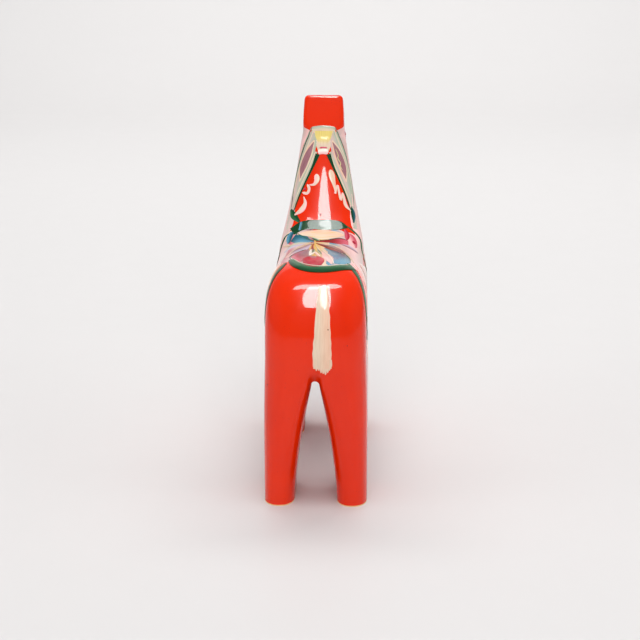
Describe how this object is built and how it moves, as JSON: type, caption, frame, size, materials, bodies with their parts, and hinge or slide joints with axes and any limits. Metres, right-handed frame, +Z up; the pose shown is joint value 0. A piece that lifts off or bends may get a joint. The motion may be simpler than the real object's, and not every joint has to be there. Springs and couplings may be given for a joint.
{
  "type": "dala horse",
  "caption": "Carved and painted wooden folk-art horse that stands on four straight legs, with a painted saddle, mane and tail.",
  "frame": {"origin": "middle of the bounding box on the plane that the four feet stand on", "axes": "+Z up, +Y forward from the rump to the muzzle, +X to the horse's right"},
  "size_m": [0.068, 0.24, 0.25],
  "materials": {
    "red_lacquer_on_pine": "gloss lacquer over red-orange oil paint",
    "cream_paint": "brushed oil paint under lacquer",
    "green_paint": "brushed oil paint under lacquer",
    "blue_paint": "brushed oil paint under lacquer",
    "rose_paint": "brushed oil paint under lacquer",
    "black_paint": "brushed oil paint under lacquer"
  },
  "bodies": {
    "root": {"left_hind_stave": "red_lacquer_on_pine", "left_barrel_stave": "red_lacquer_on_pine", "left_fore_stave": "red_lacquer_on_pine", "left_muzzle_stave": "red_lacquer_on_pine", "right_hind_stave": "red_lacquer_on_pine", "right_barrel_stave": "red_lacquer_on_pine", "right_fore_stave": "red_lacquer_on_pine", "right_muzzle_stave": "red_lacquer_on_pine"}
  },
  "joints": []
}
